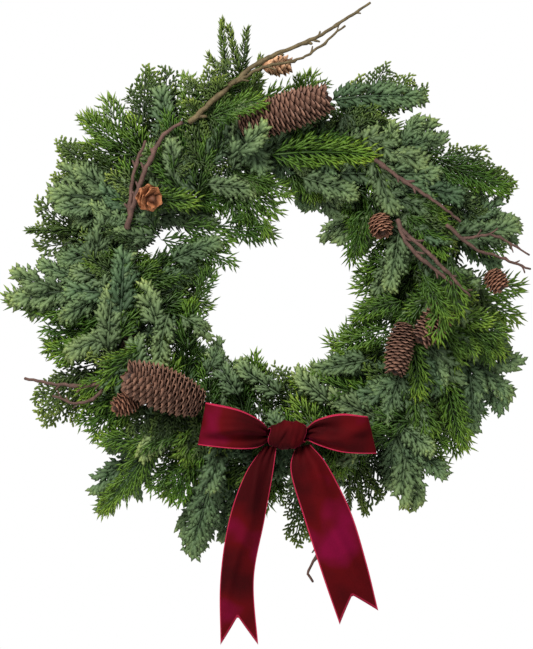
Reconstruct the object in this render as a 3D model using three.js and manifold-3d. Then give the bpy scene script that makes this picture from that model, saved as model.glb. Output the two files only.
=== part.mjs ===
// A hanging evergreen wreath: sprays, cones and twigs wired round a ring of twisted vines, with a
// velvet bow at the foot. Millimetres, +Z up, the front faces -Y. The origin is where the hook bears,
// at the top of the wire hanging loop, and the wall is the plane y = WALL_Y.
import * as THREE from "three";
import { mergeVertices } from "three/addons/utils/BufferGeometryUtils.js";
import Module from "manifold-3d";

const wasm = await Module();
wasm.setup();

// ---- Driving dimensions ----
const RING_RADIUS = 185; // centre of the vine bundle
const RING_DEPTH = 40; // from the wall to the middle of the bundle
const VINE_RADIUS = 7;
const VINE_OFFSET = 9.5; // each vine's centre from the middle of the bundle
const VINE_TURNS = 5;
const BUNDLE_RADIUS = 18; // what a spray's wire stem lies on, just clear of the vines
const WIRE_RADIUS = 1.3;
const LOOP_RADIUS = 9;
const WALL_Y = 4;
const STEM_RADIUS = 1.8;
const BLADE_THICKNESS = 3.6;
const RIBBON_THICKNESS = 2.4;
const RING_TOP = -2 * LOOP_RADIUS; // top of the wire's turn round the bundle
const CENTRE_Z = RING_TOP - BUNDLE_RADIUS - RING_RADIUS;

// ---- Materials ----
const material = (color, roughness) =>
  new THREE.MeshStandardMaterial({ color, roughness, metalness: 0 });
const MATERIALS = {
  vine: material(0x5b4436, 0.85),
  wire: new THREE.MeshStandardMaterial({ color: 0x3d4a3c, roughness: 0.5, metalness: 0.6 }),
  cedar: material(0x2f5a1f, 0.6),
  juniper: material(0x5f8468, 0.65),
  cypress: material(0x3f7a22, 0.55),
  cone: material(0x5a3426, 0.75),
  larch: material(0xa8703f, 0.75),
  twig: material(0x6e5048, 0.8),
  velvet: material(0x64040f, 0.9),
};

// ---- Places ----
const radians = THREE.MathUtils.degToRad;
const { clamp, lerp, smoothstep } = THREE.MathUtils;

// A point by its clock angle in degrees (0 at the top, 90 to the right as seen from the front), its
// distance from the ring's centre and its distance from the wall.
function at(clock, radius, depth) {
  const a = radians(clock);
  return new THREE.Vector3(radius * Math.sin(a), WALL_Y - depth, CENTRE_Z + radius * Math.cos(a));
}

const FRONT_TO_BACK = new THREE.Vector3(0, 1, 0);
const flat = (p) => p.setY(0);

// The same from a sideways and an upward distance from the ring's centre.
const from = (x, z, depth) => new THREE.Vector3(x, WALL_Y - depth, CENTRE_Z + z);

// ---- Closed skins ----
function geometryOf(positions, index) {
  const g = new THREE.BufferGeometry();
  g.setAttribute("position", new THREE.Float32BufferAttribute(positions, 3));
  g.setIndex(index);
  return g;
}

// Joins rings of points, each with the same number, into one closed skin. Rings that don't loop are
// capped by fans round their middles.
function skin(rings, loops = false) {
  const sides = rings[0].length;
  const positions = rings.flat().flatMap((p) => [p.x, p.y, p.z]);
  const index = [];
  const spans = loops ? rings.length : rings.length - 1;
  for (let i = 0; i < spans; i++) {
    for (let k = 0; k < sides; k++) {
      const a = i * sides + k;
      const b = i * sides + ((k + 1) % sides);
      const c = ((i + 1) % rings.length) * sides + k;
      const d = ((i + 1) % rings.length) * sides + ((k + 1) % sides);
      index.push(a, b, c, b, d, c);
    }
  }
  if (!loops) {
    const cap = (ring, first, outward) => {
      const middle = ring.reduce((sum, p) => sum.add(p), new THREE.Vector3()).divideScalar(sides);
      const m = positions.length / 3;
      positions.push(middle.x, middle.y, middle.z);
      for (let k = 0; k < sides; k++) {
        const pair = [first + k, first + ((k + 1) % sides)];
        index.push(m, ...(outward ? pair : pair.reverse()));
      }
    };
    cap(rings[0], 0, false);
    cap(rings[rings.length - 1], (rings.length - 1) * sides, true);
  }
  return facingOut(geometryOf(positions, index));
}

// Turns the faces round if they point in.
function facingOut(geometry) {
  const p = geometry.attributes.position;
  const index = geometry.index.array;
  const [a, b, c] = [new THREE.Vector3(), new THREE.Vector3(), new THREE.Vector3()];
  let volume = 0;
  for (let i = 0; i < index.length; i += 3) {
    a.fromBufferAttribute(p, index[i]);
    b.fromBufferAttribute(p, index[i + 1]);
    c.fromBufferAttribute(p, index[i + 2]);
    volume += a.dot(b.cross(c));
  }
  if (volume < 0) {
    geometry.setIndex(Array.from(index).reverse());
  }
  return geometry;
}

// The points of an ellipse round a centre, in the plane of side and up.
function oval(centre, side, up, halfWidth, halfThickness, sides) {
  return Array.from({ length: sides }, (_, k) => {
    const t = (2 * Math.PI * k) / sides;
    return centre
      .clone()
      .addScaledVector(side, halfWidth * Math.cos(t))
      .addScaledVector(up, halfThickness * Math.sin(t));
  });
}

// A round tube along a curve whose radius follows radiusAt(share of the length).
function tube(curve, radiusAt, steps, sides, loops = false) {
  const frames = curve.computeFrenetFrames(steps, loops);
  const count = loops ? steps : steps + 1;
  const rings = Array.from({ length: count }, (_, i) => {
    const r = radiusAt(i / steps);
    return oval(curve.getPointAt(i / steps), frames.normals[i], frames.binormals[i], r, r, sides);
  });
  return skin(rings, loops);
}

function manifoldOf(geometry) {
  const bare = new THREE.BufferGeometry();
  bare.setAttribute("position", geometry.attributes.position);
  bare.setIndex(geometry.index);
  const merged = mergeVertices(bare, 1e-3);
  return new wasm.Manifold(
    new wasm.Mesh({
      numProp: 3,
      vertProperties: merged.attributes.position.array,
      triVerts: new Uint32Array(merged.index.array),
    }),
  );
}

function union(geometries) {
  const joined = geometries.map(manifoldOf).reduce((a, b) => a.add(b));
  const mesh = joined.getMesh();
  return geometryOf(Array.from(mesh.vertProperties), Array.from(mesh.triVerts));
}

// ---- The ring ----
class VineCurve extends THREE.Curve {
  constructor(phase) {
    super();
    this.phase = phase;
  }
  getPoint(t) {
    const twist = 2 * Math.PI * (VINE_TURNS * t + this.phase);
    const radius = RING_RADIUS + VINE_OFFSET * Math.cos(twist);
    return at(360 * t, radius, RING_DEPTH + VINE_OFFSET * Math.sin(twist));
  }
}

function vine(phase) {
  const thickness = (t) => VINE_RADIUS * (0.93 + 0.07 * Math.cos(2 * Math.PI * (3 * t + phase)));
  return tube(new VineCurve(phase), thickness, 60, 6, true);
}

// One turn of wire round the bundle at the top, and the small loop above it that goes over the hook.
function hangingLoop() {
  const turnRadius = BUNDLE_RADIUS + WIRE_RADIUS + 0.4;
  const turn = new THREE.TorusGeometry(turnRadius, WIRE_RADIUS, 6, 24);
  const hub = at(0, RING_RADIUS, RING_DEPTH);
  turn.rotateY(Math.PI / 2).translate(...hub);
  const loop = new THREE.TorusGeometry(LOOP_RADIUS, WIRE_RADIUS, 6, 20);
  loop.rotateX(Math.PI / 2).translate(0, 0, WIRE_RADIUS - LOOP_RADIUS);
  const neck = tube(
    new THREE.CatmullRomCurve3([
      new THREE.Vector3(0, 0, WIRE_RADIUS - 2 * LOOP_RADIUS),
      new THREE.Vector3(0, -3, RING_TOP - 3),
      hub.clone().add(new THREE.Vector3(0, Math.cos(0.9), Math.sin(0.9)).multiplyScalar(turnRadius)),
    ]),
    () => WIRE_RADIUS,
    4,
    6,
  );
  return union([turn, loop, neck]);
}

// ---- Sprays ----
// Each spray's wire stem lies on the bundle at its seat and leaves it as a flat blade of foliage.
// seat: the angle round the bundle, 0 outside, 90 front, 180 inside, -90 back.
const SEATS = { back: -90, outer: 0, front: 90, inner: 180 };
const SPRAYS = {
  // name: [seat, root clock, tip clock, tip radius, half width, depth of the blade from the wall]
  cedar_spray_01: ["outer", 350, 349, 318, 20, 36],
  cedar_spray_02: ["front", 339, 342, 274, 32, 60],
  cedar_spray_03: ["back", 322, 330, 304, 34, 12],
  cypress_spray_01: ["outer", 314, 312, 306, 30, 38],
  cedar_spray_04: ["back", 297, 303, 312, 35, 9],
  juniper_spray_01: ["front", 300, 293, 288, 28, 62],
  cedar_spray_05: ["outer", 287, 284, 300, 24, 34],
  juniper_spray_02: ["front", 272, 268, 312, 34, 58],
  cypress_spray_02: ["outer", 260, 256, 282, 30, 38],
  cedar_spray_06: ["back", 250, 240, 320, 30, 12],
  cypress_spray_03: ["outer", 237, 231, 276, 30, 34],
  juniper_spray_03: ["back", 224, 219, 331, 30, 12],
  cypress_spray_04: ["outer", 211, 207, 276, 30, 38],
  juniper_spray_04: ["back", 197, 198, 323, 30, 12],
  cypress_spray_05: ["outer", 184, 184, 256, 30, 34],
  cedar_spray_07: ["back", 172, 173, 296, 26, 12],
  cedar_spray_08: ["outer", 157, 159, 278, 30, 38],
  juniper_spray_05: ["front", 139, 148, 294, 32, 62],
  cypress_spray_06: ["outer", 137, 137, 280, 30, 44],
  cypress_spray_07: ["back", 120, 131, 286, 32, 12],
  juniper_spray_06: ["outer", 106, 121, 284, 32, 36],
  cypress_spray_08: ["front", 100, 107, 268, 32, 62],
  cypress_spray_09: ["back", 88, 102, 276, 31, 10],
  juniper_spray_07: ["outer", 68, 76, 288, 32, 36],
  cedar_spray_09: ["back", 50, 65, 302, 32, 12],
  juniper_spray_08: ["front", 38, 50, 254, 32, 62],
  cedar_spray_10: ["outer", 22, 38, 284, 31, 40],
  cypress_spray_10: ["back", 5, 11, 256, 34, 12],
  // inwards
  cypress_spray_11: ["front", 335, 350, 64, 26, 58],
  juniper_spray_09: ["inner", 14, 22, 100, 29, 34],
  juniper_spray_10: ["inner", 45, 49, 85, 30, 34],
  cypress_spray_12: ["inner", 80, 90, 88, 30, 34],
  cypress_spray_13: ["inner", 124, 142, 82, 31, 34],
  juniper_spray_11: ["inner", 203, 208, 86, 31, 34],
  cypress_spray_14: ["inner", 264, 279, 88, 31, 34],
};
const WRAP_DEGREES = 70; // how far the stem lies round the bundle before the blade leaves it
const RAMP = 42; // the blade reaches its own depth this far from its seat
const BLADE_STATIONS = 11;
const WIDEST = 0.6; // share of the blade's length at its widest
const NOTCH = 0.72; // the notches between side fronds leave this share of the width
const STEM_SHARE = 0.16; // of the spray's length that is bare stem

// Half the blade's width at a share of its length: a fan with notches between its side fronds.
function bladeWidth(share, halfWidth, station) {
  if (share < STEM_SHARE) {
    return lerp(STEM_RADIUS, 4, share / STEM_SHARE);
  }
  const s = (share - STEM_SHARE) / (1 - STEM_SHARE);
  const fan = s < WIDEST ? lerp(0.3, 1, s / WIDEST) : Math.sqrt(1 - ((s - WIDEST) / (1 - WIDEST)) ** 2);
  return Math.max(3, halfWidth * fan * (station % 2 ? 1 : NOTCH));
}

function spray([seat, rootClock, tipClock, tipRadius, halfWidth, depth]) {
  const lies = BUNDLE_RADIUS + STEM_RADIUS;
  const angle = radians(SEATS[seat]);
  const outward = Math.sign(tipRadius - RING_RADIUS);
  const hub = at(rootClock, RING_RADIUS, RING_DEPTH);
  const seatRadius = RING_RADIUS + lies * Math.cos(angle);
  const seatDepth = RING_DEPTH + lies * Math.sin(angle);
  const radial = at(rootClock, 1, 0).sub(at(rootClock, 0, 0));
  const along = new THREE.Vector3().crossVectors(FRONT_TO_BACK, radial).normalize();
  const face = FRONT_TO_BACK.clone().multiplyScalar(seat === "back" ? 1 : -1);
  const rings = [];
  // the stem, round the bundle from the side away from the blade
  const wrap = radians(WRAP_DEGREES) * (seat === "back" ? -outward : outward);
  for (let i = 0; i < 3; i++) {
    const t = angle + wrap * (1 - i / 3);
    const c = at(rootClock, RING_RADIUS + lies * Math.cos(t), RING_DEPTH + lies * Math.sin(t));
    const out = c.clone().sub(hub).normalize();
    rings.push(oval(c, along, out, STEM_RADIUS, STEM_RADIUS, 6));
  }
  // the blade, on a curve that leaves the bundle along its own radius and bends towards the tip
  const root = flat(at(rootClock, seatRadius, 0));
  const tip = flat(at(tipClock, tipRadius, 0));
  const bend = root.clone().addScaledVector(radial, outward * root.distanceTo(tip) * 0.45);
  const path = new THREE.QuadraticBezierCurve3(root, bend, tip);
  for (let i = 0; i <= BLADE_STATIONS; i++) {
    const share = i / BLADE_STATIONS;
    const side = new THREE.Vector3().crossVectors(FRONT_TO_BACK, path.getTangentAt(share)).normalize();
    const thin = lerp(STEM_RADIUS, BLADE_THICKNESS / 2, smoothstep(share, 0, STEM_SHARE));
    const section = oval(path.getPointAt(share), side, face, bladeWidth(share, halfWidth, i), thin, 6);
    rings.push(
      section.map((p) => {
        const r = Math.hypot(p.x, p.z - CENTRE_Z);
        return p.setY(p.y + WALL_Y - lerp(seatDepth, depth, smoothstep(Math.abs(r - seatRadius), 0, RAMP)));
      }),
    );
  }
  return skin(rings);
}

// ---- Cones ----
// A cone's profile along its axis, from the stalk end at 0 to the tip at its length: rows of scales,
// each a slope out to the scale's lip and a step back in.
function coneProfile(length, radius, rows, openness) {
  const points = [new THREE.Vector2(0, 0)];
  for (let i = 0; i < rows; i++) {
    const lip = (i + 1) / rows;
    const girth = Math.pow(Math.sin(Math.PI * clamp(0.12 + 0.8 * lip, 0, 1)), 0.6);
    points.push(new THREE.Vector2(radius * girth * (1 - openness), length * (lip - 0.95 / rows)));
    points.push(new THREE.Vector2(radius * girth, length * (lip - 0.2 / rows)));
  }
  points.push(new THREE.Vector2(0, length));
  return points;
}

// A cone from its middle [x, z, depth], the way its tip points [x, y, z], its size and its rows of scales.
function cone({ middle, tip, length, radius, rows, openness = 0.22 }) {
  const sides = rows > 7 ? 10 : 8;
  const geometry = new THREE.LatheGeometry(coneProfile(length, radius, rows, openness), sides);
  geometry.translate(0, -length / 2, 0);
  const axis = new THREE.Vector3(...tip).normalize();
  geometry.applyQuaternion(new THREE.Quaternion().setFromUnitVectors(new THREE.Vector3(0, 1, 0), axis));
  return geometry.translate(...from(...middle));
}

const CONES = {
  spruce_cone_top: {
    middle: [6, 204, 84], tip: [0.93, -0.16, 0.3],
    length: 112, radius: 22, rows: 10,
  },
  spruce_cone_left: {
    middle: [-132, -112, 92], tip: [-0.88, -0.3, 0.36],
    length: 98, radius: 24.5, rows: 10,
  },
  spruce_cone_right: {
    middle: [136, -66, 86], tip: [-0.2, -0.2, -0.95],
    length: 62, radius: 16, rows: 9,
  },
  spruce_cone_far_right: {
    middle: [176, -36, 84], tip: [-0.6, -0.2, -0.7],
    length: 60, radius: 17, rows: 8,
  },
  spruce_cone_small_left: {
    middle: [-176, -128, 78], tip: [-0.8, -0.3, -0.35],
    length: 34, radius: 14, rows: 5,
  },
  larch_cone_top: {
    middle: [-3, 262, 44], tip: [1, -0.2, 0],
    length: 34, radius: 12, rows: 5,
  },
  larch_cone_left: {
    middle: [-149, 106, 84], tip: [0.5, -0.8, -0.2],
    length: 24, radius: 14, rows: 4, openness: 0.4,
  },
  larch_cone_right: {
    middle: [115, 75, 78], tip: [0.2, -0.5, -0.85],
    length: 27, radius: 13.5, rows: 6,
  },
  larch_cone_far_right: {
    middle: [247, 12, 74], tip: [0.5, -0.3, -0.8],
    length: 27, radius: 13, rows: 6,
  },
};

// ---- Twigs ----
// A twig as strands of [x, z, depth] points from the ring's centre, each with its end radii. The first
// strand is the main one and the others grow out of it.
const TWIGS = {
  twig_top: [
    {
      points: [[-104, 192, 66], [-60, 232, 68], [-22, 262, 66], [46, 293, 60], [104, 331, 56]],
      radii: [3.4, 1.5],
    },
    { points: [[-60, 232, 68], [-20, 255, 66], [28, 268, 61], [75, 304, 58]], radii: [2.2, 1.2] },
  ],
  twig_left: [
    {
      points: [[-175, 70, 74], [-166, 104, 76], [-150, 145, 76], [-134, 176, 74], [-112, 192, 70]],
      radii: [3.2, 2],
    },
    { points: [[-172, 80, 74], [-168, 130, 78], [-154, 170, 78]], radii: [2.6, 1.6] },
  ],
  twig_upper_right: [
    { points: [[108, 148, 82], [144, 122, 84], [180, 98, 82], [206, 78, 76]], radii: [2.4, 1.6] },
  ],
  twig_right: [
    { points: [[134, 80, 82], [146, 50, 88], [182, 18, 88], [200, 2, 84]], radii: [2.8, 1.5] },
    { points: [[137, 70, 83], [174, 36, 92], [216, -8, 88]], radii: [2.6, 1.5] },
  ],
  twig_far_right: [
    { points: [[190, 74, 76], [222, 48, 72], [256, 36, 66], [288, 24, 62]], radii: [2.4, 1.2] },
    { points: [[208, 58, 74], [246, 62, 70], [286, 40, 66]], radii: [1.8, 1.1] },
  ],
  twig_lower_left: [
    {
      points: [[-180, -104, 66], [-225, -110, 58], [-262, -108, 52], [-295, -102, 48]],
      radii: [2.4, 1.6],
    },
    { points: [[-190, -106, 64], [-228, -130, 58], [-262, -122, 54]], radii: [2, 1.3] },
  ],
  twig_bottom: [
    {
      points: [[36, -206, 52], [42, -262, 56], [44, -300, 58], [32, -324, 58], [38, -336, 58]],
      radii: [2.6, 1.4],
    },
  ],
};

function strand({ points, radii: [from_, to] }) {
  const curve = new THREE.CatmullRomCurve3(points.map((p) => from(...p)));
  return tube(curve, (t) => lerp(from_, to, t), points.length * 3, 6);
}

const twig = (strands) => (strands.length > 1 ? union(strands.map(strand)) : strand(strands[0]));

// ---- The bow ----
// A strip of ribbon: edgesAt(t) gives its two edges at a share of its length. The middle is bowed
// forward by crown(t), and stops short by the notch's share of the length to make a swallowtail.
function ribbon(edgesAt, steps, crown = () => 0, notch = 0) {
  const rows = Array.from({ length: steps + 1 }, (_, i) => {
    const t = i / steps;
    const [a, b] = edgesAt(t);
    const [c, d] = edgesAt(t * (1 - notch));
    const middle = c.add(d).multiplyScalar(0.5);
    middle.y -= crown(t);
    return [a, middle, b];
  });
  const rings = rows.map((row, i) => {
    const along = rows[Math.min(i + 1, steps)][1].clone().sub(rows[Math.max(i - 1, 0)][1]);
    const across = row[2].clone().sub(row[0]);
    const normal = new THREE.Vector3().crossVectors(along, across).setLength(RIBBON_THICKNESS / 2);
    const front = row.map((p) => p.clone().add(normal));
    const back = row.map((p) => p.clone().sub(normal)).reverse();
    return [...front, ...back];
  });
  return skin(rings);
}

// A curve through [x, z, depth] points from the ring's centre.
const through = (points) => new THREE.CatmullRomCurve3(points.map((p) => from(...p)), false, "centripetal");

// A loop leaves the knot, runs out along its front face, turns back at its far end and comes home
// behind. Its upper and lower edges are curves from the knot outwards.
function bowLoop(upper, lower, thickness) {
  const [top, bottom] = [through(upper), through(lower)];
  const edgesAt = (t) => {
    const out = Math.sin(Math.PI * t) ** 0.8; // 0 at the knot, 1 at the far end
    const behind = thickness * smoothstep(t, 0.3, 0.7) * lerp(0.35, 1, out);
    const back = new THREE.Vector3(0, behind, 0);
    return [top.getPointAt(clamp(out, 0, 1)).add(back), bottom.getPointAt(clamp(out, 0, 1)).add(back)];
  };
  return ribbon(edgesAt, 16);
}

// A tail hangs from the knot and ends in a swallowtail.
function bowTail(left, right, notch) {
  const [a, b] = [through(left), through(right)];
  return ribbon((t) => [a.getPointAt(t), b.getPointAt(t)], 12, (t) => 6 * Math.sin(Math.PI * t), notch);
}

// The knot: one turn of gathered ribbon round the loops' and tails' inner ends.
function bowKnot(middle, halfHeight, halfDepth, halfWidth) {
  const sections = 14;
  const rings = Array.from({ length: 7 }, (_, i) => {
    const u = (i / 6) * 2 - 1;
    const bulge = Math.sqrt(1 - 0.45 * u * u);
    return Array.from({ length: sections }, (_, k) => {
      const t = (2 * Math.PI * k) / sections;
      return middle.clone().add(
        new THREE.Vector3(halfWidth * u, -halfDepth * bulge * Math.cos(t), halfHeight * bulge * Math.sin(t)),
      );
    });
  });
  return skin(rings);
}

const KNOT = from(8, -163, 100);

const BOW = {
  bow_loop_left: () =>
    bowLoop(
      [[-14, -158, 100], [-24, -148, 104], [-48, -136, 106], [-84, -128, 104]],
      [[-14, -172, 100], [-26, -179, 104], [-50, -180, 106], [-93, -176, 104]],
      14,
    ),
  bow_loop_right: () =>
    bowLoop(
      [[30, -158, 100], [42, -148, 104], [68, -141, 106], [99, -144, 104]],
      [[30, -170, 100], [46, -177, 104], [72, -184, 106], [109, -186, 104]],
      14,
    ),
  bow_tail_left: () =>
    bowTail(
      [[-18, -184, 94], [-40, -210, 100], [-58, -262, 96], [-68, -330, 86], [-68, -405, 80]],
      [[-4, -184, 94], [-9, -212, 100], [-18, -262, 96], [-30, -330, 86], [-25, -405, 80]],
      0.14,
    ),
  bow_tail_right: () =>
    bowTail(
      [[18, -184, 94], [12, -206, 100], [28, -262, 96], [50, -330, 86], [68, -382, 80]],
      [[34, -180, 94], [54, -200, 100], [80, -252, 96], [98, -310, 86], [112, -366, 80]],
      0.13,
    ),
  bow_knot: () => bowKnot(KNOT, 17, 12, 20),
};

// ---- Assembly ----
const wreath = new THREE.Group();

function add(name, geometry, slot) {
  const mesh = new THREE.Mesh(geometry, MATERIALS[slot]);
  mesh.name = name;
  wreath.add(mesh);
}

["a", "b", "c"].forEach((letter, i) => add("vine_" + letter, vine(i / 3), "vine"));
add("hanging_loop", hangingLoop(), "wire");
for (const [name, plan] of Object.entries(SPRAYS)) {
  add(name, spray(plan), name.split("_")[0]);
}
for (const [name, plan] of Object.entries(CONES)) {
  add(name, cone(plan), name.startsWith("larch") ? "larch" : "cone");
}
for (const [name, strands] of Object.entries(TWIGS)) {
  add(name, twig(strands), "twig");
}
for (const [name, make] of Object.entries(BOW)) {
  add(name, make(), "velvet");
}

export default wreath;
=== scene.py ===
import math

import bpy
import numpy as np
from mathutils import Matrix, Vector


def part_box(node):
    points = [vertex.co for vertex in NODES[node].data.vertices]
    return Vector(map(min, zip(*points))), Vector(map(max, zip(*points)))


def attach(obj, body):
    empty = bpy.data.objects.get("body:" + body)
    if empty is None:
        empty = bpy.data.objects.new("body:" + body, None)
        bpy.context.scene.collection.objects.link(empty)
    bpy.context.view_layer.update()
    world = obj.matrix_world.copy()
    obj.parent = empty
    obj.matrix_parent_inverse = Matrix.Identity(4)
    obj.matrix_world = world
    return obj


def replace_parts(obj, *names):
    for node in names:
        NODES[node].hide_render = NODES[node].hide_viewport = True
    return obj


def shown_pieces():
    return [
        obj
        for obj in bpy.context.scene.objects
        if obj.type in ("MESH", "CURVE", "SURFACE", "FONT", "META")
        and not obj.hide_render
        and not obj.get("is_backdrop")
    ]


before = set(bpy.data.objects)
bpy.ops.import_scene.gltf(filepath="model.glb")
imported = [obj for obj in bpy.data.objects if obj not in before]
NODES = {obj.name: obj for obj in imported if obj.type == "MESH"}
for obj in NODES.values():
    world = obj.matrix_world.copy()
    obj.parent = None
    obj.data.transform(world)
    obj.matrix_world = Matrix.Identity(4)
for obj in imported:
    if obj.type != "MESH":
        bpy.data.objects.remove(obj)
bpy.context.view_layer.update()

# ---- The ring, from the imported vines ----
VINES = ("vine_a", "vine_b", "vine_c")
low = np.min([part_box(n)[0] for n in VINES], axis=0)
high = np.max([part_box(n)[1] for n in VINES], axis=0)
CX, CZ = (low[0] + high[0]) / 2, (low[2] + high[2]) / 2
RING_Y = (low[1] + high[1]) / 2
BUNDLE = 0.0165  # the vines' outer radius round the bundle's middle
RING = (high[0] - low[0]) / 2 - BUNDLE + 0.0015
WALL_Y = 0.004


def at(clock, radius, depth):
    """Points by clock angle in degrees, radius from the ring's centre and depth from the wall, in metres."""
    a = np.radians(np.asarray(clock, float))
    radius, depth = np.asarray(radius, float), np.asarray(depth, float)
    return np.stack([CX + radius * np.sin(a), WALL_Y - depth + 0 * a, CZ + radius * np.cos(a)], axis=-1)


def place(points):
    """Points from [x, z, depth] in millimetres from the ring's centre."""
    p = np.asarray(points, float) / 1000
    return np.stack([CX + p[..., 0], WALL_Y - p[..., 2], CZ + p[..., 1]], axis=-1)


def unit(v):
    return v / np.maximum(np.linalg.norm(v, axis=-1, keepdims=True), 1e-12)


# ---- Camera and light ----
VIEW_WIDTH = 0.61295  # metres across the view at the wreath
DISTANCE = 2.5
VIEW_RIGHT, VIEW_DEPTH, VIEW_BELOW = -0.0155, 0.06, 0.0397  # the view's middle, from the ring's centre
SENSOR = 36
camera_data = bpy.data.cameras.new("camera")
camera_data.sensor_fit = "HORIZONTAL"
camera_data.sensor_width = SENSOR
camera_data.lens = SENSOR * DISTANCE / VIEW_WIDTH
camera = bpy.data.objects.new("camera", camera_data)
bpy.context.scene.collection.objects.link(camera)
camera.location = (CX + VIEW_RIGHT, WALL_Y - VIEW_DEPTH - DISTANCE, CZ - VIEW_BELOW)
camera.rotation_euler = (math.pi / 2, 0, 0)
bpy.context.scene.camera = camera
bpy.context.scene.view_settings.view_transform = "Standard"


def area_light(name, place_at, target, size, power, colour=(1, 1, 1)):
    data = bpy.data.lights.new(name, "AREA")
    data.shape = "SQUARE"
    data.size = size
    data.energy = power
    data.color = colour
    o = bpy.data.objects.new(name, data)
    o.location = place_at
    o.rotation_euler = (Vector(target) - Vector(place_at)).to_track_quat("-Z", "Y").to_euler()
    bpy.context.scene.collection.objects.link(o)


MIDDLE = (0, -0.05, CZ)
area_light("key", (-1.1, -2.0, 1.3), MIDDLE, 1.1, 100, (1, 0.98, 0.95))
area_light("fill", (1.7, -1.7, 0.2), MIDDLE, 1.6, 16, (0.95, 0.98, 1))
area_light("back", (0.3, 1.9, 1.2), MIDDLE, 1.4, 42)

world = bpy.data.worlds.new("studio")
bpy.context.scene.world = world
world.use_nodes = True
wn, wl = world.node_tree.nodes, world.node_tree.links
wn.clear()
path = wn.new("ShaderNodeLightPath")
lit = wn.new("ShaderNodeBackground")
lit.inputs["Color"].default_value = (0.97, 1, 0.97, 1)
lit.inputs["Strength"].default_value = 0.17
seen = wn.new("ShaderNodeBackground")
seen.inputs["Color"].default_value = (1, 1, 1, 1)
seen.inputs["Strength"].default_value = 1.0
mix = wn.new("ShaderNodeMixShader")
out = wn.new("ShaderNodeOutputWorld")
wl.new(path.outputs["Is Camera Ray"], mix.inputs["Fac"])
wl.new(lit.outputs[0], mix.inputs[1])
wl.new(seen.outputs[0], mix.inputs[2])
wl.new(mix.outputs[0], out.inputs[0])


# ---- Materials ----
class Shader:
    """A principled material built node by node."""

    def __init__(self, name, **sockets):
        self.material = bpy.data.materials.new(name)
        self.material.use_nodes = True
        self.tree = self.material.node_tree
        self.bsdf = next(n for n in self.tree.nodes if n.type == "BSDF_PRINCIPLED")
        for key, value in sockets.items():
            self.bsdf.inputs[key.replace("_", " ")].default_value = value

    def node(self, kind, inputs=(), **settings):
        n = self.tree.nodes.new("ShaderNode" + kind)
        for key, value in settings.items():
            setattr(n, key, value)
        for key, value in dict(inputs).items():
            if isinstance(value, bpy.types.NodeSocket):
                self.tree.links.new(value, n.inputs[key])
            else:
                n.inputs[key].default_value = value
        return n

    def attribute(self, name):
        return self.node("Attribute", attribute_name=name)

    def noise(self, scale, detail=3, rough=0.55, vector=None):
        vector = vector or self.node("TexCoord").outputs["Object"]
        n = self.node("TexNoise", {"Vector": vector, "Scale": scale, "Detail": detail, "Roughness": rough})
        return n.outputs["Fac"]

    def ramp(self, factor, stops):
        n = self.node("ValToRGB", {"Fac": factor})
        elements = n.color_ramp.elements
        while len(elements) < len(stops):
            elements.new(0.5)
        for e, (position, colour) in zip(elements, stops):
            e.position = position
            e.color = (*colour, 1)
        return n.outputs["Color"]

    def mix(self, factor, a, b, blend="MIX"):
        n = self.node("Mix", data_type="RGBA", blend_type=blend)
        for socket, value in ((n.inputs[0], factor), (n.inputs[6], a), (n.inputs[7], b)):
            if isinstance(value, bpy.types.NodeSocket):
                self.tree.links.new(value, socket)
            else:
                socket.default_value = value
        return n.outputs[2]

    def scaled(self, value, low_out, high_out, low_in=0.0, high_in=1.0):
        n = self.node("MapRange", {"Value": value, 1: low_in, 2: high_in, 3: low_out, 4: high_out})
        return n.outputs[0]

    def set(self, key, socket):
        self.tree.links.new(socket, self.bsdf.inputs[key])

    def bump(self, height, strength, distance):
        n = self.node("Bump", {"Height": height, "Strength": strength, "Distance": distance})
        self.set("Normal", n.outputs[0])


def leaf_material(name, fresh, pale, roughness):
    """fresh and pale are the colours from a frond's base to its tips, at the two ends of the tone. The
    near-black base end is painted shade, and the pale tip end is partly the tips' own yellow-green, partly a
    painted highlight.
    """
    s = Shader(name, Roughness=roughness)
    leaf = s.node("SeparateColor", {"Color": s.attribute("leaf").outputs["Color"]})
    along, tone = leaf.outputs["Red"], leaf.outputs["Green"]
    stops = (0.0, 0.45, 0.8, 1.0)
    colour = s.mix(tone, s.ramp(along, list(zip(stops, fresh))), s.ramp(along, list(zip(stops, pale))))
    mottle = s.scaled(s.noise(260, 2), 0.78, 1.2, 0.3, 0.7)
    grey = s.node("CombineColor", {"Red": mottle, "Green": mottle, "Blue": mottle})
    s.set("Base Color", s.mix(1.0, colour, grey.outputs[0], "MULTIPLY"))
    s.set("Roughness", s.scaled(s.noise(400, 2), roughness - 0.1, roughness + 0.12, 0.3, 0.7))
    s.bsdf.inputs["Specular IOR Level"].default_value = 0.35
    return s.material


# Each ramp runs from near-black painted shade at a frond's base to pale tips that are partly painted
# highlight.
LEAVES = {
    "cedar": leaf_material(
        "cedar_leaves",
        [(0.007, 0.018, 0.003), (0.026, 0.055, 0.007), (0.072, 0.13, 0.013), (0.25, 0.33, 0.03)],
        [(0.012, 0.025, 0.006), (0.05, 0.086, 0.018), (0.12, 0.175, 0.03), (0.32, 0.39, 0.07)],
        0.5,
    ),
    "juniper": leaf_material(
        "juniper_leaves",
        [(0.013, 0.03, 0.012), (0.05, 0.1, 0.043), (0.105, 0.18, 0.075), (0.22, 0.31, 0.085)],
        [(0.028, 0.048, 0.02), (0.11, 0.165, 0.066), (0.2, 0.27, 0.095), (0.37, 0.44, 0.13)],
        0.6,
    ),
    "cypress": leaf_material(
        "cypress_leaves",
        [(0.008, 0.022, 0.003), (0.03, 0.084, 0.006), (0.085, 0.185, 0.012), (0.25, 0.36, 0.025)],
        [(0.012, 0.03, 0.005), (0.066, 0.135, 0.014), (0.17, 0.27, 0.028), (0.37, 0.46, 0.06)],
        0.48,
    ),
}


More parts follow.
